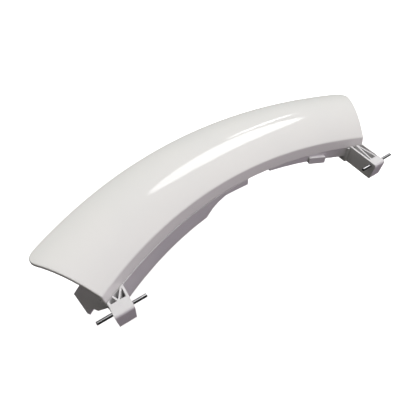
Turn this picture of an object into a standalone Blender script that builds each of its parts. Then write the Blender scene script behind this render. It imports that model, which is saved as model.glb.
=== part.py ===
"""Door handle for a front-loading washing machine: a curved grip that swings on two steel pins.

The frame has its origin on the hinge axis, half-way along the handle. +X runs along the chord of the
curved grip towards the long arm, +Y points outward to the convex edge, and +Z points out of the door,
so the glossy front faces up. Lengths are in metres.
"""

from collections import namedtuple
from math import asin, cos, pi, radians, sin, sqrt

import bmesh
import bpy
from mathutils import Matrix, Vector

MM = 0.001

# Plan of the front cover: two edges of unlike radius, widest at mid length
OUTER_EDGE_CHORD = 245.0 * MM
OUTER_EDGE_RADIUS = 254.0 * MM
INNER_EDGE_CHORD = 200.6 * MM
INNER_EDGE_RADIUS = 239.7 * MM
INNER_EDGE_REACH = 34.5 * MM  # hinge axis to the inner edge at mid length
FACE_WIDTH = 47.0 * MM  # inner edge to outer edge at mid length
CORNER_RADIUS = 8.0 * MM

# Heights of the cover's two edges above the hinge axis, and how far each falls towards the ends
INNER_EDGE_HEIGHT = 11.1 * MM
INNER_EDGE_FALL = 4.2 * MM
OUTER_EDGE_HEIGHT = 15.2 * MM
OUTER_EDGE_FALL = 0.8 * MM
DOME_RISE = 5.4 * MM

# Walls of the cover
COVER_WALL = 2.0 * MM
RIM_WALL = 2.0 * MM
RIM_DEPTH_MIDDLE = 7.0 * MM
RIM_DEPTH_END = 5.9 * MM
RIM_LEAN = 1.5 * MM  # the rim leans towards the hinge as it goes down
LIP_DEPTH = 3.0 * MM  # fades to the wall of the cover round its corners
LIP_WALL = 1.8 * MM
INNER_EDGE_ROUND = 0.8 * MM
OUTER_EDGE_ROUND = 1.3 * MM
END_EDGE_ROUND = 0.6 * MM

# Rear carrier, a channel that is open at the back
SEAT_GAP = 0.3 * MM  # between the cover and the carrier
CARRIER_WALL = 1.8 * MM
SHOULDER_WALL = 1.0 * MM
CARRIER_INSET = 0.4 * MM  # of the carrier's ends behind the cover's ends
CARRIER_TOP_WIDTH = 11.6 * MM
CARRIER_KNEE_WIDTH = 18.4 * MM
CARRIER_KNEE_DROP = 8.5 * MM  # below the inner edge of the cover
GRIP_WALL_DRAFT = 0.2  # how fast the finger-side wall leans in below its knee

SKIRT_LEDGE = 0.4 * MM  # the skirt stands out past the rim at the short arm, and as far back at the long one

# Lower edge of the carrier's hinge-side wall, as (x, z) corners from the short arm to the long one
SKIRT_END_Z = -3.3 * MM
SKIRT_DEPTH = 8.0 * MM  # its deep stretch, which is arched
SKIRT_BEND = 0.00082 / MM
SKIRT_DEEP_END = -21.0 * MM
SKIRT_RAMP = ((-15.8 * MM, -3.6 * MM), (-11.6 * MM, -1.5 * MM), (-5.5 * MM, 0.6 * MM))
SKIRT_SHALLOW_Z = -0.7 * MM
NOTCH_START = 13.0 * MM
NOTCH_LENGTH = 17.4 * MM
BAND_START_Z = 2.2 * MM
BAND_END_Z = -6.3 * MM

# Lower edge of the carrier's finger-side wall
GRIP_DEPTH = 12.0 * MM
GRIP_SHALLOW_DEPTH = 3.0 * MM
GRIP_BEND = 0.00076 / MM
GRIP_RAMP_LENGTH = 16.0 * MM
CHEEK_STEP = 9.6 * MM  # width of the raised part of the short arm's end wall
CHEEK_STEP_Z = -11.2 * MM
CHEEK_LEVEL_LENGTH = 3.3 * MM  # from the step to where the end wall's edge rises to the skirt

# Ribs across the channel
RIB_COUNT = 10
RIB_PITCH = 18.5 * MM
RIB_WALL = 1.5 * MM
RIB_SETBACK = 2.0 * MM  # of a rib's lower edge from the lower edges of the walls

# Lug on the hinge-side wall
LUG_MIDDLE = 67.3 * MM
LUG_LENGTH = 12.5 * MM
LUG_REACH = 2.0 * MM
LUG_HEIGHT = 5.0 * MM
LUG_MIDDLE_Z = -1.9 * MM
LUG_SLOPE = -0.16
LUG_ROUND = 0.6 * MM

# Snap hooks under the cover, each through a slot in the carrier
HOOK_COUNT = 5
HOOK_PITCH = 37.0 * MM
HOOK_LENGTH = 7.0 * MM
HOOK_WALL = 1.5 * MM
HOOK_NOSE = 1.0 * MM
HOOK_NOSE_HEIGHT = 1.4 * MM
HOOK_OFFSET = 7.0 * MM  # from the inner edge
HOOK_CLEARANCE = 0.4 * MM

# Hinge pins
HINGE_SKEW = radians(-3.0)  # the hinge axis turns this far from the chord of the grip
PIN_DIAMETER = 2.0 * MM
PIN_LENGTH = 27.4 * MM
PIN_PLACE = 94.7 * MM  # middle of a pin, along the hinge axis
PIN_CHAMFER = 0.25 * MM
PIN_CLEARANCE = 0.1 * MM  # all round, in its bore

# Both hinge arms
ARM_LEAN = radians(6.8)  # of their sides from the Y axis
ARM_WALL = 1.3 * MM
ARM_RIB_WALL = 1.0 * MM
ARM_ROOT_LENGTH = 7.0 * MM  # how far an arm runs on inside the channel
ARM_TOP = 2.4 * MM  # above the hinge axis
ARM_OVERHANG = 4.0 * MM  # from the hinge axis to the end
ARM_TOP_ROUND = 2.2 * MM
ARM_END_ROUND = 1.0 * MM
ARM_END_DRAFT = 0.12  # how fast the end leans in towards its bottom

# Each hinge arm; what has a place lies that far along the hinge axis from the origin
SHORT_ARM_INSIDE = 89.1 * MM
SHORT_ARM_WIDTH = 10.9 * MM
SHORT_ARM_DEPTH = 10.6 * MM  # below the hinge axis
SHORT_ARM_BLOCK = 4.0 * MM  # the solid end reaches this far behind the hinge axis
SHORT_ARM_OUTER_WALL = 1.3 * MM
SHORT_ARM_DRAFT = 0.107  # how fast its outer side leans in towards its bottom
SHORT_ARM_RIB_PLACE = 96.5 * MM
ROOT_FILLET = 0.8 * MM  # between its outer side and the hinge-side wall
LONG_ARM_INSIDE = 88.4 * MM
LONG_ARM_WIDTH = 9.3 * MM
LONG_ARM_DEPTH = 10.0 * MM
LONG_ARM_BLOCK = 2.7 * MM
LONG_ARM_OUTER_WALL = 0.8 * MM
LONG_ARM_RIB_PLACES = (91.0 * MM, 96.2 * MM)
BUTTRESS_WIDTH = 1.8 * MM  # it thickens the long arm's inner side this much, at the root
BUTTRESS_REACH = 1.2 * MM  # in front of the hinge-side wall
BUTTRESS_ROUND = 1.5 * MM

# Fineness of the meshes
ARC_STATIONS = 52
DOME_STEPS = 12
CORNER_STEPS = 7
EDGE_STEPS = 3
END_STEPS = 3
ROUND_STEPS = 7
BORE_SIDES = 32

GLOSS_WHITE = (0.80, 0.795, 0.78, 1.0)
MOULDED_WHITE = (0.70, 0.69, 0.69, 1.0)
STEEL = (0.56, 0.56, 0.57, 1.0)

# Worked out from the sizes above
INNER_SWEEP = asin(INNER_EDGE_CHORD / 2 / INNER_EDGE_RADIUS)
OUTER_SWEEP = asin(OUTER_EDGE_CHORD / 2 / OUTER_EDGE_RADIUS)
INNER_ARC = INNER_SWEEP * INNER_EDGE_RADIUS
HINGE_AXIS = Vector((cos(HINGE_SKEW), sin(HINGE_SKEW), 0.0))
ARM_WAY = Vector((sin(ARM_LEAN), cos(ARM_LEAN), 0.0))
BORE_RADIUS = PIN_DIAMETER / 2 + PIN_CLEARANCE
TONGUE = RIM_WALL + SEAT_GAP
NOTCH_END = NOTCH_START + NOTCH_LENGTH
STEP_WIDTH = 0.1 * MM  # along X, of an upright step in a lower edge
SLANT_WIDTH = 0.5 * MM  # of the same beside the short arm's slanting side
SKIN = 0.05 * MM  # keeps the faces of joined pieces and cutters from lying in one plane
RIM_ROOM_START = 0.8  # the room for the rim starts this share of the way to the ends
RIM_ROOM_STEPS = 12
THROUGH = OUTER_EDGE_CHORD  # a cutter this long passes right through

Arm = namedtuple("Arm", "side inside width depth block outer_wall draft")
SHORT_ARM = Arm(
    side=-1,
    inside=SHORT_ARM_INSIDE,
    width=SHORT_ARM_WIDTH,
    depth=SHORT_ARM_DEPTH,
    block=SHORT_ARM_BLOCK,
    outer_wall=SHORT_ARM_OUTER_WALL,
    draft=SHORT_ARM_DRAFT,
)
LONG_ARM = Arm(
    side=1,
    inside=LONG_ARM_INSIDE,
    width=LONG_ARM_WIDTH,
    depth=LONG_ARM_DEPTH,
    block=LONG_ARM_BLOCK,
    outer_wall=LONG_ARM_OUTER_WALL,
    draft=0.0,
)


def clear_scene():
    for old in list(bpy.data.objects):
        bpy.data.objects.remove(old, do_unlink=True)


def make_collection(name):
    made = bpy.data.collections.new(name)
    bpy.context.scene.collection.children.link(made)
    return made


def make_material(name, colour, roughness, metallic=0.0, coat=0.0):
    made = bpy.data.materials.new(name)
    made.use_nodes = True
    made.diffuse_color = colour
    shader = made.node_tree.nodes["Principled BSDF"]
    shader.inputs["Base Color"].default_value = colour
    shader.inputs["Roughness"].default_value = roughness
    shader.inputs["Metallic"].default_value = metallic
    shader.inputs["Coat Weight"].default_value = coat
    return made


def put_in(collection, name, mesh):
    made = bpy.data.objects.new(name, mesh)
    collection.objects.link(made)
    return made


def put_tool(collection, mesh):
    made = put_in(collection, mesh.name, mesh)
    made.hide_render = True
    made.display_type = "WIRE"


def use_boolean(target, tools, operation):
    change = target.modifiers.new(operation.lower(), "BOOLEAN")
    change.operation = operation
    change.operand_type = "COLLECTION"
    change.collection = tools
    change.solver = "EXACT"


# Form of the grip


def inner_edge(u):
    """Point on the cover's inner edge; u runs from -1 at the short arm's end to 1 at the other."""
    turn = u * INNER_SWEEP
    y = INNER_EDGE_REACH - INNER_EDGE_RADIUS * (1 - cos(turn))
    return Vector((INNER_EDGE_RADIUS * sin(turn), y, INNER_EDGE_HEIGHT - INNER_EDGE_FALL * u * u))


def outer_edge(u):
    turn = u * OUTER_SWEEP
    y = INNER_EDGE_REACH + FACE_WIDTH - OUTER_EDGE_RADIUS * (1 - cos(turn))
    return Vector((OUTER_EDGE_RADIUS * sin(turn), y, OUTER_EDGE_HEIGHT - OUTER_EDGE_FALL * u * u))


def across(u):
    """Level direction from the inner edge to the outer edge, and the distance between them."""
    way = outer_edge(u) - inner_edge(u)
    way.z = 0.0
    return way.normalized(), way.length


def place(u, reach, z):
    """World point of a section at u: reach is measured from the inner edge, z from the hinge axis."""
    point = inner_edge(u) + across(u)[0] * reach
    point.z = z
    return point


def face_height(u, reach):
    """Height of the domed front above the hinge axis."""
    share = reach / across(u)[1]
    level = inner_edge(u).z * (1 - share) + outer_edge(u).z * share
    return level + 4 * DOME_RISE * share * (1 - share)


def rim_foot(u):
    depth = RIM_DEPTH_MIDDLE + (RIM_DEPTH_END - RIM_DEPTH_MIDDLE) * u * u
    return inner_edge(u).z - depth


def u_at(x):
    return asin(x / INNER_EDGE_RADIUS) / INNER_SWEEP


def corner_cut(u):
    """How much narrower the face is at u, where its outer corner is rounded."""
    from_end = (1 - abs(u)) * OUTER_SWEEP * OUTER_EDGE_RADIUS
    if from_end >= CORNER_RADIUS:
        return 0.0
    return CORNER_RADIUS - sqrt(CORNER_RADIUS**2 - (CORNER_RADIUS - from_end) ** 2)


def end_drop(u):
    """How far the edges at the cover's ends are rounded off at u."""
    from_end = (1 - abs(u)) * INNER_ARC
    if from_end >= END_EDGE_ROUND:
        return 0.0
    return END_EDGE_ROUND - sqrt(END_EDGE_ROUND**2 - (END_EDGE_ROUND - from_end) ** 2)


def lip_depth(u):
    """Depth of the lip at u, which fades to the cover's wall round the outer corner."""
    from_end = (1 - abs(u)) * OUTER_SWEEP * OUTER_EDGE_RADIUS
    share = min(from_end / CORNER_RADIUS, 1.0)
    return COVER_WALL + (LIP_DEPTH - COVER_WALL) * share * share * (3 - 2 * share)


def skirt_reach(u):
    """Outer face of the carrier's hinge-side wall."""
    return SKIRT_LEDGE * u - RIM_LEAN


def evenly(low, high, steps):
    return [low + (high - low) * i / steps for i in range(steps + 1)]


def round_corner(before, corner, after, distance, steps=EDGE_STEPS):
    """Points that round a corner of an outline, starting and ending at a distance from it."""
    corner = Vector(corner)
    start = corner + (Vector(before) - corner).normalized() * distance
    end = corner + (Vector(after) - corner).normalized() * distance
    shares = evenly(0.0, 1.0, steps)
    return [tuple(start.lerp(corner, t).lerp(corner.lerp(end, t), t)) for t in shares]


# Meshes


def loft(name, sections):
    """Closed mesh through a row of outlines that have the same number of points."""
    bm = bmesh.new()
    rings = [[bm.verts.new(point) for point in section] for section in sections]
    for ring, following in zip(rings, rings[1:]):
        for i in range(len(ring)):
            j = (i + 1) % len(ring)
            bm.faces.new((ring[i], ring[j], following[j], following[i]))
    bm.faces.new(rings[0])
    bm.faces.new(rings[-1])
    bmesh.ops.recalc_face_normals(bm, faces=bm.faces)
    mesh = bpy.data.meshes.new(name)
    bm.to_mesh(mesh)
    bm.free()
    return mesh


def plate(name, outline, thickness, matrix):
    """Flat plate of an outline, centred on its plane, as a welded mesh in world space."""
    curve = bpy.data.curves.new(name, "CURVE")
    curve.dimensions = "2D"
    curve.fill_mode = "BOTH"
    curve.extrude = thickness / 2
    spline = curve.splines.new("POLY")
    spline.points.add(len(outline) - 1)
    for point, (x, y) in zip(spline.points, outline):
        point.co = (x, y, 0.0, 1.0)
    spline.use_cyclic_u = True
    holder = put_in(bpy.context.scene.collection, name, curve)
    bpy.context.view_layer.update()
    evaluated = holder.evaluated_get(bpy.context.evaluated_depsgraph_get())
    mesh = bpy.data.meshes.new_from_object(evaluated)
    bpy.data.objects.remove(holder)
    bm = bmesh.new()
    bm.from_mesh(mesh)
    bmesh.ops.remove_doubles(bm, verts=bm.verts, dist=0.001 * MM)
    bmesh.ops.transform(bm, matrix=matrix, verts=bm.verts)
    bmesh.ops.recalc_face_normals(bm, faces=bm.faces)
    bm.to_mesh(mesh)
    bm.free()
    mesh.name = name
    return mesh


def axes_matrix(x_way, y_way, origin):
    """Matrix that lays a plate's outline along two directions, from an origin."""
    columns = (x_way, y_way, x_way.cross(y_way), origin)
    return Matrix([[column[row] for column in columns] for row in range(3)] + [[0, 0, 0, 1]])


def level_start(u):
    start = inner_edge(u)
    start.z = 0.0
    return start


def section_plate(name, u, outline, thickness):
    """Plate that stands across the grip at u, with its outline in (reach, z)."""
    return plate(name, outline, thickness, axes_matrix(across(u)[0], Vector((0, 0, 1)), level_start(u)))


def wall_plate(name, u, outline, low_reach, high_reach):
    """Plate along the grip at u, with its outline in (distance along, z)."""
    way = across(u)[0]
    along = way.cross(Vector((0, 0, 1)))
    middle = level_start(u) + way * (low_reach + high_reach) / 2
    return plate(name, outline, high_reach - low_reach, axes_matrix(along, Vector((0, 0, 1)), middle))


def rod(name, radius, length, middle, sides):
    """Cylinder along the hinge axis."""
    bm = bmesh.new()
    bmesh.ops.create_cone(bm, cap_ends=True, segments=sides, radius1=radius, radius2=radius, depth=length)
    turn = Vector((0, 0, 1)).rotation_difference(HINGE_AXIS).to_matrix().to_4x4()
    bmesh.ops.transform(bm, matrix=Matrix.Translation(middle) @ turn, verts=bm.verts)
    mesh = bpy.data.meshes.new(name)
    bm.to_mesh(mesh)
    bm.free()
    return mesh


# Front cover


def cover_section(u):
    """Outline of the shell across the grip: rim, domed front, lip, and the hollow under them."""
    drop = end_drop(u)
    edge = min(OUTER_EDGE_ROUND, lip_depth(u) - drop - SKIN)
    width = across(u)[1] - corner_cut(u) - drop
    foot = rim_foot(u)
    rim_corner = (drop, face_height(u, 0.0) - drop)
    lip_corner = (width, face_height(u, width) - drop)
    rim_bottom = (drop - RIM_LEAN, foot)
    lip_bottom = (width, face_height(u, width) - lip_depth(u))
    first = INNER_EDGE_ROUND + drop
    last = width - edge
    front = [(reach, face_height(u, reach) - drop) for reach in evenly(first, last, DOME_STEPS)]
    outline = [rim_bottom]
    outline += round_corner(rim_bottom, rim_corner, front[0], INNER_EDGE_ROUND)[:-1]
    outline += front
    outline += round_corner(front[-1], lip_corner, lip_bottom, edge)[1:]
    outline += [lip_bottom, (width - LIP_WALL, lip_bottom[1])]
    for reach in evenly(width - LIP_WALL, RIM_WALL, DOME_STEPS):
        outline.append((reach, face_height(u, reach) - COVER_WALL))
    outline.append((RIM_WALL - RIM_LEAN, foot))
    return [place(u, reach, z) for reach, z in outline]


def cover_stations():
    """Places of the cover's sections, closer together in its rounded corners and at its ends."""
    corner = CORNER_RADIUS / (OUTER_SWEEP * OUTER_EDGE_RADIUS)
    edge = END_EDGE_ROUND / INNER_ARC
    bend = [1 - corner * (1 - sin(pi / 2 * i / CORNER_STEPS)) for i in range(1, CORNER_STEPS)]
    bend += [1 - edge * (1 - sin(pi / 2 * i / END_STEPS)) for i in range(END_STEPS + 1)]
    bend = sorted(u for u in bend if u >= 1 - edge or u < 1 - 1.2 * edge)
    return [-u for u in reversed(bend)] + evenly(corner - 1, 1 - corner, ARC_STATIONS) + bend


def carrier_top(u, reach):
    """Height of the carrier's upper face, just under the cover."""
    return face_height(u, reach) - COVER_WALL - SEAT_GAP


def hook_places():
    middle = (HOOK_COUNT - 1) / 2
    return [(i - middle) * HOOK_PITCH / INNER_ARC for i in range(HOOK_COUNT)]


def hook_outline(u):
    """Snap hook in section: a leg down from the cover, with its nose on the finger side."""
    left = HOOK_OFFSET
    right = HOOK_OFFSET + HOOK_WALL
    catch = carrier_top(u, right) - CARRIER_WALL - HOOK_CLEARANCE
    top = face_height(u, left) - COVER_WALL / 2
    tip = catch - HOOK_NOSE_HEIGHT
    return [(left, top), (left, tip), (right, tip), (right + HOOK_NOSE, catch), (right, catch), (right, top)]


def make_cover(parts, material):
    cover = put_in(parts, "front_cover", loft("front_cover", [cover_section(u) for u in cover_stations()]))
    cover.data.materials.append(material)
    hooks = make_collection("cover_hooks")
    for u in hook_places():
        put_tool(hooks, section_plate("snap_hook", u, hook_outline(u), HOOK_LENGTH))
    use_boolean(cover, hooks, "UNION")


# Rear carrier


def arm_point(arm, place_along, out, z):
    """World point of an arm: along the hinge axis from the origin, out from the axis, and up.

    Where the outer side has a draft, what lies between the two sides leans with it.
    """
    share = (place_along - arm.inside) / arm.width
    along = place_along - arm.draft * (ARM_TOP - z) * share
    return HINGE_AXIS * (arm.side * along) + ARM_WAY * out + Vector((0, 0, z))


def wall_out(arm, place_along):
    """How far out from the hinge axis the hinge-side wall's face lies, beside a place on an arm."""
    centre = Vector((0.0, INNER_EDGE_REACH - INNER_EDGE_RADIUS, 0.0))
    start = HINGE_AXIS * (arm.side * place_along) - centre
    radius = INNER_EDGE_RADIUS + skirt_reach(arm.side)
    nearer = start.dot(ARM_WAY)
    return sqrt(nearer * nearer - start.length_squared + radius * radius) - nearer


def root_x(arm, place_along):
    """X where a side of an arm meets the hinge-side wall."""
    return arm_point(arm, place_along, wall_out(arm, place_along), 0.0).x


def skirt_edge():
    """Corners of the hinge-side wall's lower edge, as (x, z)."""
    short_outer = root_x(SHORT_ARM, SHORT_ARM_INSIDE + SHORT_ARM_WIDTH)
    short_inner = root_x(SHORT_ARM, SHORT_ARM_INSIDE)
    long_inner = root_x(LONG_ARM, LONG_ARM_INSIDE)
    edge = [(short_outer, SKIRT_END_Z), (short_outer + SLANT_WIDTH, -SHORT_ARM_DEPTH)]
    edge.append((short_inner - STEP_WIDTH, -SHORT_ARM_DEPTH))
    for x in evenly(short_inner, SKIRT_DEEP_END, 10):
        edge.append((x, -SKIRT_DEPTH - SKIRT_BEND * x * x))
    edge += SKIRT_RAMP
    edge += [(NOTCH_START, SKIRT_SHALLOW_Z), (NOTCH_END, BAND_START_Z)]
    return edge + [(long_inner, BAND_END_Z), (long_inner + STEP_WIDTH, -LONG_ARM_DEPTH)]


def along_edge(corners, x):
    """Height of a broken line at x, level beyond its ends."""
    if x <= corners[0][0]:
        return corners[0][1]
    for (x0, z0), (x1, z1) in zip(corners, corners[1:]):
        if x <= x1:
            return z0 + (z1 - z0) * (x - x0) / (x1 - x0)
    return corners[-1][1]


def skirt_z(u):
    return along_edge(skirt_edge(), inner_edge(u).x)


def grip_z(u):
    """Lower edge of the finger-side wall: deep beside the short arm and shallow beside the long one."""
    x = inner_edge(u).x
    ramp = min(max((x - SKIRT_DEEP_END) / GRIP_RAMP_LENGTH, 0.0), 1.0)
    depth = GRIP_DEPTH + (GRIP_SHALLOW_DEPTH - GRIP_DEPTH) * ramp
    return -depth - GRIP_BEND * x * x


def knee_z(u):
    return inner_edge(u).z - CARRIER_KNEE_DROP


def grip_reach(u, z):
    """Outer face of the finger-side wall at a height below its knee."""
    return CARRIER_KNEE_WIDTH - GRIP_WALL_DRAFT * (knee_z(u) - z)


def carrier_section(u):
    """Channel in section: skirt, shoulder under the rim, tongue behind it, web and finger-side wall."""
    shoulder = rim_foot(u) - SEAT_GAP
    skirt = skirt_reach(u)
    inside = TONGUE + CARRIER_WALL
    foot = grip_reach(u, grip_z(u))
    outline = [(skirt, skirt_z(u)), (skirt, shoulder), (TONGUE, shoulder)]
    outline += [(reach, carrier_top(u, reach)) for reach in evenly(TONGUE, CARRIER_TOP_WIDTH, 4)]
    outline += [(CARRIER_KNEE_WIDTH, knee_z(u)), (foot, grip_z(u)), (foot - CARRIER_WALL, grip_z(u))]
    outline.append((CARRIER_KNEE_WIDTH - CARRIER_WALL, knee_z(u)))
    for reach in evenly(CARRIER_TOP_WIDTH - CARRIER_WALL / 2, inside, 4):
        outline.append((reach, carrier_top(u, reach) - CARRIER_WALL))
    outline += [(inside, shoulder - SHOULDER_WALL), (skirt + CARRIER_WALL, shoulder - SHOULDER_WALL)]
    outline.append((skirt + CARRIER_WALL, skirt_z(u)))
    return [place(u, reach, z) for reach, z in outline]


def carrier_stations():
    """Even places along the arc, with the corners of the skirt's lower edge among them."""
    end = 1 - CARRIER_INSET / INNER_ARC
    corners = [u_at(x) for x, z in skirt_edge()]
    even = [u for u in evenly(-end, end, ARC_STATIONS) if min(abs(u - c) for c in corners) > 0.006]
    return sorted(even + corners)


def filling(u, lower_edge, from_skirt=True):
    """Outline of the channel's inside at u, half-way into its walls, above a lower edge."""
    half = CARRIER_WALL / 2
    shoulder = rim_foot(u) - SEAT_GAP - SHOULDER_WALL / 2
    outline = [(skirt_reach(u) + half, shoulder), (TONGUE + half, shoulder)] if from_skirt else []
    for reach in evenly(TONGUE + half, CARRIER_TOP_WIDTH - half / 2, 3):
        outline.append((reach, carrier_top(u, reach) - half))
    return outline + [(CARRIER_KNEE_WIDTH - half, knee_z(u))] + lower_edge


def add_ribs(additions):
    half = CARRIER_WALL / 2
    middle = (RIB_COUNT - 1) / 2
    for i in range(RIB_COUNT):
        u = (i - middle) * RIB_PITCH / INNER_ARC
        outer = grip_z(u) + RIB_SETBACK
        inner = skirt_z(u) + RIB_SETBACK
        from_skirt = inner < rim_foot(u) - SEAT_GAP - 2 * SHOULDER_WALL
        lower_edge = [(grip_reach(u, outer) - half, outer)]
        if from_skirt:
            lower_edge.append((skirt_reach(u) + half, inner))
        else:
            lower_edge.append((TONGUE + half, rim_foot(u) - RIB_SETBACK))
        outline = filling(u, lower_edge, from_skirt)
        put_tool(additions, section_plate("cross_rib", u, outline, RIB_WALL))


def add_end_walls(additions):
    """End walls of the channel; the one by the short arm is stepped along its lower edge."""
    half = CARRIER_WALL / 2
    from_end = (CARRIER_INSET + half + SKIN) / INNER_ARC
    for side in (-1, 1):
        u = side * (1 - from_end)
        foot = grip_z(u) + SKIN
        lower_edge = [(grip_reach(u, foot) - half, foot)]
        if side < 0:
            lower_edge += [(CHEEK_STEP, CHEEK_STEP_Z), (CHEEK_STEP - CHEEK_LEVEL_LENGTH, CHEEK_STEP_Z)]
        lower_edge.append((skirt_reach(u) + half, skirt_z(u) + SKIN))
        put_tool(additions, section_plate("end_wall", u, filling(u, lower_edge), CARRIER_WALL))


def arm_outline(arm):
    """Side of an arm as (out, z) corners, with its free end rounded."""
    root = wall_out(arm, arm.inside) + ARM_ROOT_LENGTH
    top_back = (root, ARM_TOP)
    top_end = (-ARM_OVERHANG, ARM_TOP)
    low_end = (ARM_END_DRAFT * (ARM_TOP + arm.depth) - ARM_OVERHANG, -arm.depth)
    low_back = (root, -arm.depth)
    outline = [top_back] + round_corner(top_back, top_end, low_end, ARM_TOP_ROUND, ROUND_STEPS)
    outline += round_corner(top_end, low_end, low_back, ARM_END_ROUND)
    return outline + [low_back]


def add_arm(additions, cutters, arm):
    """Hinge arm: a box with a solid end round the bore, and a truss of thin ribs behind the end."""
    outline = arm_outline(arm)
    sides = [[arm_point(arm, place_along, out, z) for out, z in outline] for place_along in arm_sides(arm)]
    put_tool(additions, loft("hinge_arm", sides))
    for pocket in arm_pockets(arm):
        put_tool(cutters, upright(arm, "truss_pocket", pocket, ARM_WALL - arm.depth, 2 * ARM_TOP))
    middle = arm_point(arm, sum(arm_sides(arm)) / 2, 0.0, ARM_TOP)
    middle.z = 0.0
    put_tool(cutters, rod("bore", BORE_RADIUS, 2 * arm.width, middle, BORE_SIDES))
    cut_rim_room(cutters, arm)


def arm_sides(arm):
    return arm.inside, arm.inside + arm.width


def upright(arm, name, outline, low_z, high_z):
    """Solid that stands on an outline in an arm's own (along, out) places."""
    levels = [[arm_point(arm, along, out, z) for along, out in outline] for z in (low_z, high_z)]
    return loft(name, levels)


def cut_rim_room(cutters, arm):
    """Room in the top of an arm for the rim of the cover."""
    front = -RIM_LEAN - SEAT_GAP
    back = TONGUE + SKIN
    sections = []
    for u in evenly(arm.side * RIM_ROOM_START, arm.side, RIM_ROOM_STEPS):
        low = rim_foot(u) - SEAT_GAP + SKIN
        high = inner_edge(u).z
        outline = [(front, low), (back, low), (back, high), (front, high)]
        sections.append([place(u, reach, z) for reach, z in outline])
    put_tool(cutters, loft("rim_room", sections))


def add_buttress(additions):
    """Thickened root on the inner side of the long arm."""
    arm = LONG_ARM
    wall = wall_out(arm, arm.inside)
    front = wall - BUTTRESS_REACH
    root = wall + ARM_ROOT_LENGTH - SKIN
    inner = arm.inside - BUTTRESS_WIDTH
    outer = arm.inside + ARM_WALL / 2
    corner = round_corner((outer, front), (inner, front), (inner, root), BUTTRESS_ROUND, ROUND_STEPS)
    outline = [(outer, root), (outer, front)] + corner + [(inner, root)]
    top = rim_foot(u_at(root_x(arm, arm.inside))) - SEAT_GAP - SKIN
    put_tool(additions, upright(arm, "buttress", outline, SKIN - arm.depth, top))


def add_root_fillet(additions):
    """Fillet in the sharp corner between the short arm's outer side and the hinge-side wall."""
    arm = SHORT_ARM
    inner, outer = arm_sides(arm)
    outline = [(outer - SKIN, wall_out(arm, outer) - ROOT_FILLET)]
    for place_along in (outer + ROOT_FILLET, outer - ROOT_FILLET):
        outline.append((place_along, wall_out(arm, place_along) + ROOT_FILLET / 2))
    top = rim_foot(u_at(root_x(arm, outer))) - SEAT_GAP - SKIN
    put_tool(additions, upright(arm, "root_fillet", outline, SKIRT_END_Z + SKIN, top))


def inset(corners, distance):
    """Convex outline whose sides lie a distance inside those of the given one."""
    points = [Vector(corner) for corner in corners]
    middle = sum(points, Vector((0.0, 0.0))) / len(points)
    sides = []
    for start, end in zip(points, points[1:] + points[:1]):
        way = (end - start).normalized()
        inward = Vector((-way.y, way.x))
        if inward.dot(middle - start) < 0:
            inward.negate()
        sides.append((start + inward * distance, way))
    outline = []
    for (first, way), (second, next_way) in zip(sides, sides[1:] + sides[:1]):
        along = (second - first).cross(next_way) / way.cross(next_way)
        outline.append(tuple(first + way * along))
    return outline


def arm_pockets(arm):
    """Three pockets that leave a V of ribs: its point is at the short arm's block, or the long one's root."""
    half = ARM_RIB_WALL / 2
    near = arm.block - half
    inner = arm.inside + ARM_WALL - half
    outer = arm.inside + arm.width - arm.outer_wall + half
    middle = (inner + outer) / 2
    inner_root = (inner, wall_out(arm, inner) + half)
    outer_root = (outer, wall_out(arm, outer) + half)
    if arm is SHORT_ARM:
        point = (middle, near)
        foot = (SHORT_ARM_RIB_PLACE, wall_out(arm, SHORT_ARM_RIB_PLACE) + half)
        outlines = (
            ((inner, near), point, inner_root),
            (point, foot, inner_root),
            (point, (outer, near), outer_root, foot),
        )
    else:
        point = (middle, wall_out(arm, middle) + half)
        first, second = [(place_along, near) for place_along in LONG_ARM_RIB_PLACES]
        outlines = (
            ((inner, near), first, point, inner_root),
            (first, second, point),
            (second, (outer, near), outer_root, point),
        )
    return [inset(outline, half) for outline in outlines]


def add_lug(additions):
    u = u_at(LUG_MIDDLE)
    half_length = LUG_LENGTH / 2
    half_height = LUG_HEIGHT / 2
    corners = []
    for along, rise in ((-1, 1), (1, 1), (1, -1), (-1, -1)):
        z = LUG_MIDDLE_Z + along * half_length * LUG_SLOPE + rise * half_height
        corners.append((along * half_length, z))
    outline = []
    for i in range(4):
        outline += round_corner(corners[i - 1], corners[i], corners[(i + 1) % 4], LUG_ROUND)
    face = skirt_reach(u)
    put_tool(additions, wall_plate("lug", u, outline, face - LUG_REACH, face + CARRIER_WALL / 2))


def cut_notch(cutters):
    """Gap in the skirt, up to the rim of the cover."""
    u = u_at((NOTCH_START + NOTCH_END) / 2)
    half = NOTCH_LENGTH / 2
    outline = [(-half, -THROUGH), (half, -THROUGH), (half, THROUGH), (-half, THROUGH)]
    front = skirt_reach(u) - CARRIER_WALL
    put_tool(cutters, wall_plate("skirt_notch", u, outline, front, TONGUE - STEP_WIDTH))


def cut_slots(cutters):
    """Slots in the web for the cover's snap hooks."""
    left = HOOK_OFFSET - HOOK_CLEARANCE
    right = HOOK_OFFSET + HOOK_WALL + HOOK_CLEARANCE
    for u in hook_places():
        low = carrier_top(u, left) - 3 * CARRIER_WALL
        high = carrier_top(u, right) + CARRIER_WALL
        outline = [(left, low), (right, low), (right, high), (left, high)]
        put_tool(cutters, section_plate("hook_slot", u, outline, HOOK_LENGTH + 2 * HOOK_CLEARANCE))


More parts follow.
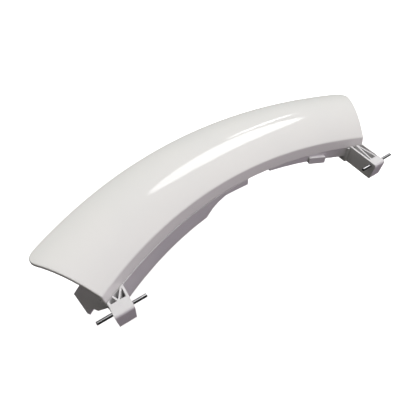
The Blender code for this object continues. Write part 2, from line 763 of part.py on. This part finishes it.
def make_carrier(parts, material):
    carrier_mesh = loft("rear_carrier", [carrier_section(u) for u in carrier_stations()])
    carrier = put_in(parts, "rear_carrier", carrier_mesh)
    carrier.data.materials.append(material)
    additions = make_collection("carrier_additions")
    cutters = make_collection("carrier_cutters")
    add_ribs(additions)
    add_end_walls(additions)
    add_lug(additions)
    add_buttress(additions)
    add_root_fillet(additions)
    for arm in (SHORT_ARM, LONG_ARM):
        add_arm(additions, cutters, arm)
    cut_notch(cutters)
    cut_slots(cutters)
    use_boolean(carrier, additions, "UNION")
    use_boolean(carrier, cutters, "DIFFERENCE")


# Hinge pins


def make_pin(parts, name, side, material):
    pin = put_in(parts, name, rod(name, PIN_DIAMETER / 2, PIN_LENGTH, Vector(), BORE_SIDES))
    pin.location = HINGE_AXIS * (side * PIN_PLACE)
    pin.data.materials.append(material)
    chamfer = pin.modifiers.new("chamfered ends", "BEVEL")
    chamfer.width = PIN_CHAMFER
    chamfer.segments = 1
    chamfer.limit_method = "ANGLE"
    chamfer.angle_limit = radians(60)


def build():
    clear_scene()
    parts = make_collection("washing_machine_door_handle")
    make_cover(parts, make_material("gloss_white_plastic", GLOSS_WHITE, 0.12, coat=0.5))
    make_carrier(parts, make_material("moulded_white_plastic", MOULDED_WHITE, 0.5))
    steel = make_material("bright_steel", STEEL, 0.22, metallic=1.0)
    make_pin(parts, "short_arm_pin", -1, steel)
    make_pin(parts, "long_arm_pin", 1, steel)


build()
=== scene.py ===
# %% [markdown]
# # Dressing a washing machine door handle
#
# The handle is a glossy white cover snapped onto a matt white carrier, which swings on two short steel
# pins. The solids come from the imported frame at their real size. This file gives each of them the surface
# that the real one has: rounded edges, a polished or a finely grained skin, ground steel, and soft studio
# light.

# %% Load the frame
from math import atan, cos, degrees, pi, radians, sin, sqrt

import bmesh
import bpy
from mathutils import Matrix, Vector


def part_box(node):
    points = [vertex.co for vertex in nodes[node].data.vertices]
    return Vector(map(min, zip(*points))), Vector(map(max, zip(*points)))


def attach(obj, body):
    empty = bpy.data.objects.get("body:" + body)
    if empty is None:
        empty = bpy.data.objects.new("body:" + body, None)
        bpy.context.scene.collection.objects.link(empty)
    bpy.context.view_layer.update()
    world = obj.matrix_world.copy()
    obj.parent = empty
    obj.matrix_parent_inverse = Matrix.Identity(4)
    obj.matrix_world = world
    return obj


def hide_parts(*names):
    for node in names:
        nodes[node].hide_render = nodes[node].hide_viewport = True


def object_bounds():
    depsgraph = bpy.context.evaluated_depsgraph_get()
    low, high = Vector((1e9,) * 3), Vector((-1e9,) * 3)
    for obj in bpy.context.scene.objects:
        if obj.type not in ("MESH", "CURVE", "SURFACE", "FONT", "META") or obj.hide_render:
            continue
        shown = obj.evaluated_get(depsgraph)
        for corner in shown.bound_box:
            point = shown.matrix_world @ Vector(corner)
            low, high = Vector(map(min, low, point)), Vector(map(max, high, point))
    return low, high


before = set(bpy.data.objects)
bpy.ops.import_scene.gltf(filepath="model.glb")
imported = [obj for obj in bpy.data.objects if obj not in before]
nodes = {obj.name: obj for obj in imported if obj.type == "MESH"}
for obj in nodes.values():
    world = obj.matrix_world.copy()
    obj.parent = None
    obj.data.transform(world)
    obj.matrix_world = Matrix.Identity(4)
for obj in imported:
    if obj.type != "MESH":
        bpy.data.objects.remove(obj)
cad_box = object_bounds()
MM = 0.001
print("CAD nodes:", sorted(nodes))

# %% [markdown]
# ## The camera
#
# The photograph was taken from the hinge side, above and to the left of the short arm, close enough for
# the short arm to look a third larger than the long one. The camera stands at the same place, and its
# lens has the same angle of view, so the pieces fall where they do in the photograph.

# %% Camera
CAMERA_PLACE = Vector((-123.7, -100.4, 182.1)) * MM
CAMERA_AIM = Vector((0.41999, 0.52797, -0.73814))
CAMERA_RIGHT = Vector((0.78419, -0.62052, 0.00235))
SENSOR = 36.0
LENS = 35.43
NEAREST_SEEN = 10 * MM

camera_data = bpy.data.cameras.new("camera")
camera_data.sensor_width = SENSOR
camera_data.lens = LENS
camera_data.clip_start = NEAREST_SEEN
camera = bpy.data.objects.new("camera", camera_data)
bpy.context.scene.collection.objects.link(camera)
camera_up = CAMERA_RIGHT.cross(CAMERA_AIM)
camera_turn = Matrix((CAMERA_RIGHT, camera_up, -CAMERA_AIM)).transposed()
camera.matrix_world = Matrix.Translation(CAMERA_PLACE) @ camera_turn.to_4x4()
bpy.context.scene.camera = camera
print("camera looks down by", round(degrees(-atan(CAMERA_AIM.z / CAMERA_AIM.xy.length)), 1), "degrees")

# %% [markdown]
# ## Helpers for materials
#
# Every finish here starts from the Principled shader. Texture nodes read Object coordinates, which are
# metres in the handle's own frame, so a grain has its real size and stays on the piece when the handle
# swings. A noise rarely leaves the middle of its range, so only that part of it moves a value or a
# colour.

# %% Material helpers
NOISE_LOW = 0.3
NOISE_HIGH = 0.7
BLEND_START = 0.35
BLEND_END = 0.65


def new_material(name, colour, roughness):
    """Plain material, whose colour and roughness a texture may take over."""
    material = bpy.data.materials.new(name)
    material.use_nodes = True
    shader = material.node_tree.nodes["Principled BSDF"]
    shader.inputs["Base Color"].default_value = (*colour, 1.0)
    shader.inputs["Roughness"].default_value = roughness
    return material, shader


def add_node(owner, kind, **settings):
    """New node in the tree of a material or of the world."""
    node = owner.node_tree.nodes.new(kind)
    for name, value in settings.items():
        setattr(node, name, value)
    return node


def join(owner, output, socket):
    owner.node_tree.links.new(output, socket)


def add_noise(material, size, detail=2.0):
    """Noise whose blotches are about size metres across."""
    place = add_node(material, "ShaderNodeTexCoord")
    noise = add_node(material, "ShaderNodeTexNoise")
    noise.inputs["Scale"].default_value = 1 / size
    noise.inputs["Detail"].default_value = detail
    join(material, place.outputs["Object"], noise.inputs["Vector"])
    return noise


def add_bump(material, shader, height, strength, depth):
    bump = add_node(material, "ShaderNodeBump")
    bump.inputs["Strength"].default_value = strength
    bump.inputs["Distance"].default_value = depth
    join(material, height, bump.inputs["Height"])
    join(material, bump.outputs["Normal"], shader.inputs["Normal"])
    return bump


def vary(material, source, low, high, socket):
    """Lets a texture move a shader's value between low and high."""
    span = add_node(material, "ShaderNodeMapRange")
    span.inputs["From Min"].default_value = NOISE_LOW
    span.inputs["From Max"].default_value = NOISE_HIGH
    span.inputs["To Min"].default_value = low
    span.inputs["To Max"].default_value = high
    join(material, source, span.inputs["Value"])
    join(material, span.outputs["Result"], socket)


def tint(material, source, first, second, socket):
    """Lets a texture move a colour between two near ones."""
    ramp = add_node(material, "ShaderNodeValToRGB")
    start, end = ramp.color_ramp.elements
    start.position = BLEND_START
    start.color = (*first, 1.0)
    end.position = BLEND_END
    end.color = (*second, 1.0)
    join(material, source, ramp.inputs["Fac"])
    join(material, ramp.outputs["Color"], socket)


# %% [markdown]
# ## Glossy white plastic
#
# The cover is moulded in a polished tool. It is a warm white with a clear, mirror-like skin, and only a
# faint waviness, like the peel of an orange, breaks up what it reflects. The waviness is a broad, very
# shallow bump.

# %% Glossy white
gloss_white, gloss_shader = new_material("gloss_white_plastic", (0.80, 0.795, 0.78), 0.14)
gloss_shader.inputs["IOR"].default_value = 1.5
gloss_shader.inputs["Coat Weight"].default_value = 0.35
gloss_shader.inputs["Coat Roughness"].default_value = 0.05
cloudiness = add_noise(gloss_white, 30 * MM)
tint(
    gloss_white,
    cloudiness.outputs["Fac"],
    (0.812, 0.814, 0.796),
    (0.828, 0.827, 0.806),
    gloss_shader.inputs["Base Color"],
)
peel = add_noise(gloss_white, 5 * MM, detail=1.0)
vary(gloss_white, peel.outputs["Fac"], 0.05, 0.08, gloss_shader.inputs["Roughness"])
add_bump(gloss_white, gloss_shader, peel.outputs["Fac"], strength=0.15, depth=0.02 * MM)
print("made", gloss_white.name)

# %% [markdown]
# ## Moulded white plastic
#
# The carrier comes from a cheaper, spark-eroded tool. Its skin has a fine grain that scatters light, so
# it looks flatter and greyer than the cover, and shaded walls turn slightly purple beside the warm face.
# A Bevel node bends the light over its edges as a small rounding does.

# %% Moulded white
CARRIER_EDGE_RADIUS = 0.35 * MM

moulded_white, moulded_shader = new_material("moulded_white_plastic", (0.74, 0.735, 0.74), 0.45)
flow = add_noise(moulded_white, 14 * MM, detail=3.0)
tint(
    moulded_white,
    flow.outputs["Fac"],
    (0.725, 0.72, 0.73),
    (0.755, 0.75, 0.755),
    moulded_shader.inputs["Base Color"],
)
grain = add_noise(moulded_white, 0.35 * MM, detail=3.0)
vary(moulded_white, grain.outputs["Fac"], 0.38, 0.52, moulded_shader.inputs["Roughness"])
grain_bump = add_bump(moulded_white, moulded_shader, grain.outputs["Fac"], strength=0.25, depth=0.03 * MM)
soft_edges = add_node(moulded_white, "ShaderNodeBevel", samples=8)
soft_edges.inputs["Radius"].default_value = CARRIER_EDGE_RADIUS
join(moulded_white, soft_edges.outputs["Normal"], grain_bump.inputs["Normal"])
print("made", moulded_white.name)

# %% [markdown]
# ## Ground steel
#
# The pins are cut from ground rod. Grinding leaves hair-fine rings round the rod, so the noise is
# squeezed along the pin's own direction and left long around it, and it moves the roughness as well as
# the bump.

# %% Ground steel
HINGE_SKEW = radians(-3.0)
RING_SQUEEZE = 12.0

ground_steel, steel_shader = new_material("ground_steel", (0.5, 0.5, 0.51), 0.1)
steel_shader.inputs["Metallic"].default_value = 1.0
steel_place = add_node(ground_steel, "ShaderNodeTexCoord")
steel_turn = add_node(ground_steel, "ShaderNodeMapping")
steel_turn.inputs["Rotation"].default_value = (0.0, 0.0, -HINGE_SKEW)
steel_turn.inputs["Scale"].default_value = (RING_SQUEEZE, 1.0, 1.0)
rings = add_node(ground_steel, "ShaderNodeTexNoise")
rings.inputs["Scale"].default_value = 1 / (2 * MM)
rings.inputs["Detail"].default_value = 3.0
join(ground_steel, steel_place.outputs["Object"], steel_turn.inputs["Vector"])
join(ground_steel, steel_turn.outputs["Vector"], rings.inputs["Vector"])
vary(ground_steel, rings.outputs["Fac"], 0.06, 0.13, steel_shader.inputs["Roughness"])
add_bump(ground_steel, steel_shader, rings.outputs["Fac"], strength=0.1, depth=0.01 * MM)
print("made", ground_steel.name)

# %% [markdown]
# ## Dressing the moulded pieces
#
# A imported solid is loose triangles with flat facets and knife-sharp edges. A copy of it is merged into
# one skin and its triangles are joined into larger faces. Bevel then gives the cover's sharp edges the
# small radius that a moulding has. Its own clamp would shrink all edges to what the shortest one allows,
# so each edge gets a weight instead: the wanted radius, or less where the faces beside it are narrow. The
# carrier's thin ribs leave no room for that, so its edges are rounded in its material. Smooth shading
# alone would bend the light over whole walls beside a thin edge, so the normals are weighted by the
# faces' areas: walls stay flat, and only the rounded edges catch the light.

# %% Radius of each edge
SHARP = radians(32)  # faces that meet at a smaller angle belong to one smooth surface
COVER_EDGE_RADIUS = 0.25 * MM
GOES_ON = -0.8  # cosine between two edges, below which they run on as one line
ROOM_SHARE = 0.25  # of the shorter edge's length, which a rounding may take up


def weigh_edges(piece, widest):
    """Gives each sharp edge a bevel weight, with room left on the faces beside it."""
    mesh = bmesh.new()
    mesh.from_mesh(piece.data)
    weights = mesh.edges.layers.float.new("bevel_weight_edge")
    for edge in mesh.edges:
        if len(edge.link_faces) != 2 or edge.calc_face_angle() < SHARP:
            continue
        first, last = edge.verts
        radius = widest
        for corner, far_end in ((first, last), (last, first)):
            away = (far_end.co - corner.co).normalized()
            for other in corner.link_edges:
                other_away = (other.other_vert(corner).co - corner.co).normalized()
                cosine = away.dot(other_away)
                if other is not edge and cosine > GOES_ON:
                    half_tangent = sqrt((1 - cosine) / (1 + cosine))
                    shorter = min(edge.calc_length(), other.calc_length())
                    radius = min(radius, ROOM_SHARE * shorter * min(1.0, half_tangent))
        edge[weights] = radius / widest
    mesh.to_mesh(piece.data)
    mesh.free()


# %% Skin helper
MERGE_DISTANCE = 0.002 * MM
QUAD_FACE_ANGLE = radians(4)
QUAD_SHAPE_ANGLE = radians(60)
SMOOTH_ANGLE = radians(50)
ROUND_SEGMENTS = 3


def dress(node_name, piece_name, edge_radius, flat_angle, material, body):
    """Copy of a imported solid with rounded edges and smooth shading, which stands for the solid."""
    source = nodes[node_name]
    piece = bpy.data.objects.new(piece_name, source.data.copy())
    piece.data.name = piece_name
    bpy.context.scene.collection.objects.link(piece)
    bpy.ops.object.select_all(action="DESELECT")
    piece.select_set(True)
    bpy.context.view_layer.objects.active = piece
    bpy.ops.object.mode_set(mode="EDIT")
    bpy.ops.mesh.select_all(action="SELECT")
    bpy.ops.mesh.remove_doubles(threshold=MERGE_DISTANCE)
    bpy.ops.mesh.customdata_custom_splitnormals_clear()
    bpy.ops.mesh.tris_convert_to_quads(face_threshold=QUAD_FACE_ANGLE, shape_threshold=QUAD_SHAPE_ANGLE)
    bpy.ops.mesh.dissolve_limited(angle_limit=flat_angle)
    bpy.ops.object.mode_set(mode="OBJECT")
    if edge_radius:
        weigh_edges(piece, edge_radius)
        rounding = piece.modifiers.new("rounded edges", "BEVEL")
        rounding.width = edge_radius
        rounding.segments = ROUND_SEGMENTS
        rounding.limit_method = "WEIGHT"
        rounding.use_clamp_overlap = False
        bpy.ops.object.modifier_apply(modifier=rounding.name)
    bpy.ops.object.shade_smooth_by_angle(angle=SMOOTH_ANGLE)
    weighting = piece.modifiers.new("weighted normals", "WEIGHTED_NORMAL")
    weighting.keep_sharp = True
    bpy.ops.object.modifier_apply(modifier=weighting.name)
    piece.data.materials.clear()
    piece.data.materials.append(material)
    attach(piece, body)
    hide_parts(node_name)
    print(piece_name, "has", len(piece.data.polygons), "faces")
    return piece


# %% Cover and carrier
cover_skin = dress("front_cover", "cover_skin", COVER_EDGE_RADIUS, radians(0.01), gloss_white, "handle")
carrier_skin = dress("rear_carrier", "carrier_skin", 0.0, radians(0.2), moulded_white, "handle")

# %% [markdown]
# ## The pins
#
# Each pin is turned stock with a small chamfer at both ends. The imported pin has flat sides, so a round
# one is made from a cylinder with many sides, turned onto the hinge axis, with its ends bevelled.

# %% Pins
PIN_DIAMETER = 2.0 * MM
PIN_LENGTH = 27.4 * MM
PIN_CHAMFER = 0.25 * MM
PIN_SIDES = 64
PIN_END_ANGLE = radians(60)  # only the edges round the ends turn by more
PIN_SMOOTH_ANGLE = radians(35)


def make_pin(node_name, piece_name):
    low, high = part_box(node_name)
    bpy.ops.object.select_all(action="DESELECT")
    bpy.ops.mesh.primitive_cylinder_add(
        vertices=PIN_SIDES,
        radius=PIN_DIAMETER / 2,
        depth=PIN_LENGTH,
        location=(low + high) / 2,
        rotation=(0.0, pi / 2, HINGE_SKEW),
    )
    pin = bpy.context.object
    pin.name = piece_name
    pin.data.name = piece_name
    bpy.ops.object.transform_apply(location=True, rotation=True, scale=True)
    chamfer = pin.modifiers.new("chamfered ends", "BEVEL")
    chamfer.width = PIN_CHAMFER
    chamfer.segments = ROUND_SEGMENTS
    chamfer.limit_method = "ANGLE"
    chamfer.angle_limit = PIN_END_ANGLE
    bpy.ops.object.modifier_apply(modifier=chamfer.name)
    bpy.ops.object.shade_smooth_by_angle(angle=PIN_SMOOTH_ANGLE)
    pin.data.materials.append(ground_steel)
    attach(pin, "hinge_pins")
    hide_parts(node_name)
    print(piece_name, "has", len(pin.data.polygons), "faces")
    return pin


short_pin = make_pin("short_arm_pin", "short_pin_round")
long_pin = make_pin("long_arm_pin", "long_pin_round")

# %% [markdown]
# ## The floor
#
# The handle is seen against plain white with hardly a shadow. A wide pale floor, which glows a little,
# lies some way below it. The floor is hidden from the rays that carry light between surfaces, so it
# throws none back on the handle, and the lamps and the world alone set the shading.

# %% Floor
FLOOR_DROP = 60 * MM
FLOOR_SIZE = 8.0
FLOOR_GLOW = 0.6

bpy.ops.object.select_all(action="DESELECT")
floor_height = cad_box[0][2] - FLOOR_DROP
bpy.ops.mesh.primitive_plane_add(size=FLOOR_SIZE, location=(0.0, 0.0, floor_height))
floor = bpy.context.object
floor.name = "floor"
floor_white, floor_shader = new_material("floor_white", (0.9, 0.9, 0.9), 0.9)
floor_shader.inputs["Emission Color"].default_value = (1.0, 1.0, 1.0, 1.0)
floor_shader.inputs["Emission Strength"].default_value = FLOOR_GLOW
floor.data.materials.append(floor_white)
floor.visible_diffuse = False
floor.visible_glossy = False

# %% [markdown]
# ## The lamps
#
# The light is mostly from a broad lamp close above the long arm, which leaves the left end in shade, as
# in the photograph. A low lamp in front gives the hinge side its slightly purple tone, and one behind
# opens up the side of the fingers. The dome doesn't mirror these lamps: its two streaks are reflections
# of two rounded lamps, which give no other light, so they can be shaped without changing the shading.

# %% Lamps
LAMP_TARGET = Vector((0.0, 45.0, 12.0)) * MM
PALE_PURPLE = (1.0, 0.7, 1.0)


def add_lamp(name, shape, azimuth, elevation, distance, size, power, roll=0.0):
    """Area lamp; azimuth turns from +Y towards +X, and the roll turns a long lamp about its beam."""
    way = Vector((
        sin(radians(azimuth)) * cos(radians(elevation)),
        cos(radians(azimuth)) * cos(radians(elevation)),
        sin(radians(elevation)),
    ))
    data = bpy.data.lights.new(name, "AREA")
    data.shape = shape
    data.size, data.size_y = size
    data.energy = power
    lamp = bpy.data.objects.new(name, data)
    lamp.visible_camera = False
    bpy.context.scene.collection.objects.link(lamp)
    lamp.matrix_world = (
        Matrix.Translation(LAMP_TARGET + way * distance)
        @ way.to_track_quat("Z", "Y").to_matrix().to_4x4()
        @ Matrix.Rotation(radians(roll), 4, "Z")
    )
    return lamp


key_lamp = add_lamp("key_lamp", "SQUARE", 155.0, 55.0, distance=1.2, size=(0.9, 0.9), power=0.9)
top_lamp = add_lamp("top_lamp", "SQUARE", 72.0, 71.0, distance=0.9, size=(1.0, 1.0), power=6.1)
fill_lamp = add_lamp("fill_lamp", "SQUARE", 160.0, 4.0, distance=1.5, size=(1.0, 1.0), power=3.9)
fill_lamp.data.color = PALE_PURPLE
back_lamp = add_lamp("back_lamp", "SQUARE", 5.0, 12.0, distance=1.5, size=(1.0, 1.0), power=3.0)
for lamp in (key_lamp, top_lamp, fill_lamp, back_lamp):
    lamp.visible_glossy = False

streak_lamp = add_lamp(
    "streak_lamp", "ELLIPSE", 57.0, 53.3, distance=3.0, size=(1.15, 0.8), power=9.0, roll=58.8
)
faint_lamp = add_lamp(
    "faint_streak_lamp", "ELLIPSE", 52.0, 40.0, distance=3.0, size=(0.6, 0.15), power=1.2, roll=50.0
)
for lamp in (streak_lamp, faint_lamp):
    lamp.visible_diffuse = False

# %% [markdown]
# Steel looks like steel only when it reflects something bright beside something dark. A long window-like
# lamp high above is linked to the two pins alone, so it draws one white line along them and none on the
# dome.

# %% Lamp for the pins
steel_group = bpy.data.collections.new("steel")
steel_group.objects.link(short_pin)
steel_group.objects.link(long_pin)
pin_lamp = add_lamp("pin_lamp", "RECTANGLE", 90.0, 66.0, distance=1.75, size=(0.9, 3.4), power=16.5)
pin_lamp.light_linking.receiver_collection = steel_group

# %% [markdown]
# ## Soft light from all round
#
# The world fills the shadows. Its light rises with height and a little towards the long arm, and is
# warmer on the short arm's side. Mirror-like skins see only a fifth of it, which keeps the streaks on the
# dome clear of haze. The camera itself sees plain white all round, so no horizon shows behind the floor.

# %% World
SKY_LEVEL = 0.125
SKY_LEAST = 0.03
SKY_RISE = 0.45
SKY_TURN = 0.15
MIRRORED_SHARE = 0.2
SHORT_ARM_SIDE_HUE = (1.0, 0.96, 0.88, 1.0)
LONG_ARM_SIDE_HUE = (1.0, 0.99, 1.0, 1.0)

world = bpy.data.worlds.new("studio")
bpy.context.scene.world = world
world.use_nodes = True
sky = world.node_tree.nodes["Background"]
world_output = world.node_tree.nodes["World Output"]
direction = add_node(world, "ShaderNodeTexCoord")
seen = add_node(world, "ShaderNodeLightPath")

slope = add_node(world, "ShaderNodeVectorMath", operation="DOT_PRODUCT")
slope.inputs[1].default_value = (SKY_TURN, 0.0, SKY_RISE)
level = add_node(world, "ShaderNodeMath", operation="ADD")
level.inputs[1].default_value = SKY_LEVEL
darkest = add_node(world, "ShaderNodeMath", operation="MAXIMUM")
darkest.inputs[1].default_value = SKY_LEAST
dimming = add_node(world, "ShaderNodeMapRange")
dimming.inputs["To Min"].default_value = 1.0
dimming.inputs["To Max"].default_value = MIRRORED_SHARE
shown = add_node(world, "ShaderNodeMath", operation="MULTIPLY")
join(world, direction.outputs["Generated"], slope.inputs[0])
join(world, slope.outputs["Value"], level.inputs[0])
join(world, level.outputs["Value"], darkest.inputs[0])
join(world, seen.outputs["Is Glossy Ray"], dimming.inputs["Value"])
join(world, darkest.outputs["Value"], shown.inputs[0])
join(world, dimming.outputs["Result"], shown.inputs[1])
join(world, shown.outputs["Value"], sky.inputs["Strength"])

split = add_node(world, "ShaderNodeSeparateXYZ")
side = add_node(world, "ShaderNodeMapRange")
side.inputs["From Min"].default_value = -1.0
hue = add_node(world, "ShaderNodeValToRGB")
hue.color_ramp.elements[0].color = SHORT_ARM_SIDE_HUE
hue.color_ramp.elements[1].color = LONG_ARM_SIDE_HUE
join(world, direction.outputs["Generated"], split.inputs["Vector"])
join(world, split.outputs["X"], side.inputs["Value"])
join(world, side.outputs["Result"], hue.inputs["Fac"])
join(world, hue.outputs["Color"], sky.inputs["Color"])

backdrop = add_node(world, "ShaderNodeBackground")
backdrop.inputs["Color"].default_value = (1.0, 1.0, 1.0, 1.0)
choice = add_node(world, "ShaderNodeMixShader")
join(world, seen.outputs["Is Camera Ray"], choice.inputs["Fac"])
join(world, sky.outputs["Background"], choice.inputs[1])
join(world, backdrop.outputs["Background"], choice.inputs[2])
join(world, choice.outputs["Shader"], world_output.inputs["Surface"])
bpy.context.scene.view_settings.view_transform = "Standard"
